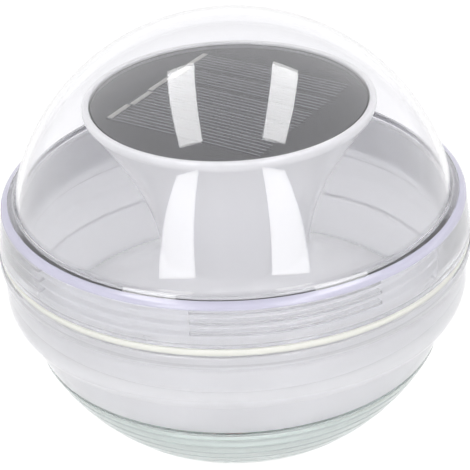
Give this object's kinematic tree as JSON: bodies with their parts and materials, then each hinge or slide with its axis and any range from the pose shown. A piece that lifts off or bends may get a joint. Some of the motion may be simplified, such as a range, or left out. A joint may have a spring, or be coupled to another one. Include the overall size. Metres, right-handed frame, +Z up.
{
  "type": "floating pool light",
  "caption": "Solar floating pool light: clear screw-on dome over a frosted bowl, with a white trumpet column and round solar panel inside.",
  "frame": {"origin": "centre of the flat foot that the light stands on", "axes": "+Z up along the axis of the bowl and the dome, -Y towards the switch, +X to the right of it"},
  "size_m": [0.185, 0.185, 0.17],
  "materials": {
    "clear_plastic": "clear glossy moulded plastic",
    "frosted_plastic": "frosted inside wall, clear ribbed bottom",
    "silicone": "milky pale silicone",
    "white_plastic": "glossy opaque white",
    "foam_tape": "grey foam tape",
    "solar_cell": "dark silicon with fine printed fingers",
    "tinned_strip": "matt tinned copper",
    "backing_board": "dark resin board",
    "circuit_board": "green solder mask",
    "led": "pale package with yellow phosphor",
    "black_plastic": "fine matt black",
    "socket_plastic": "off-white nylon",
    "steel": "zinc plated",
    "battery_sleeve": "plain green shrink sleeve",
    "red_lead": "red insulation",
    "black_lead": "black insulation"
  },
  "bodies": {
    "housing": {"lower_bowl": "frosted_plastic", "solar_column": "white_plastic", "column_screw_1": "steel", "column_screw_2": "steel", "column_screw_3": "steel", "panel_tape": "foam_tape", "panel_backing": "backing_board", "solar_cell_1": "solar_cell", "solar_cell_2": "solar_cell", "solar_cell_3": "solar_cell", "solar_cell_4": "solar_cell", "solar_cell_5": "solar_cell", "bus_bar_1": "tinned_strip", "bus_bar_2": "tinned_strip", "bus_bar_3": "tinned_strip", "bus_bar_4": "tinned_strip", "bus_bar_5": "tinned_strip", "panel_cover": "clear_plastic", "led_board": "circuit_board", "board_screw_1": "steel", "board_screw_2": "steel", "board_screw_3": "steel", "bottom_led_1": "led", "bottom_led_2": "led", "bottom_led_3": "led", "bottom_led_4": "led", "bottom_led_5": "led", "bottom_led_6": "led", "column_led_1": "led", "column_led_2": "led", "driver_chip": "black_plastic", "inductor": "black_plastic", "capacitor": "black_plastic", "solar_socket": "socket_plastic", "switch_socket": "socket_plastic", "battery_tray": "black_plastic", "battery_1": "battery_sleeve", "battery_2": "battery_sleeve", "battery_3": "battery_sleeve", "battery_spring_1": "steel", "battery_spring_2": "steel", "battery_spring_3": "steel", "battery_plate_1": "steel", "battery_plate_2": "steel", "battery_plate_3": "steel", "switch_body": "black_plastic", "solar_lead_red": "red_lead", "solar_lead_black": "black_lead", "switch_lead_1": "red_lead", "switch_lead_2": "red_lead"},
    "seal": {"seal_ring": "silicone"},
    "dome": {"clear_dome": "clear_plastic"},
    "switch_knob": {"switch_knob": "black_plastic"}
  },
  "joints": [
    {"name": "dome_rise", "type": "slide", "parent": "housing", "child": "seal", "axis": [0, 0, 1], "range_m": [0, 0.0127]},
    {"name": "dome_turn", "type": "hinge", "parent": "seal", "child": "dome", "pos_m": [0, 0, 0.09], "axis": [0, 0, 1], "range_deg": [0, 1080]},
    {"name": "switch_slide", "type": "slide", "parent": "housing", "child": "switch_knob", "axis": [0.9986, -0.0523, 0], "range_m": [0, 0.003]}
  ],
  "couplings": [
    {"joint": "dome_rise", "follows": "dome_turn", "m_per_rad": 0.00066845}
  ]
}
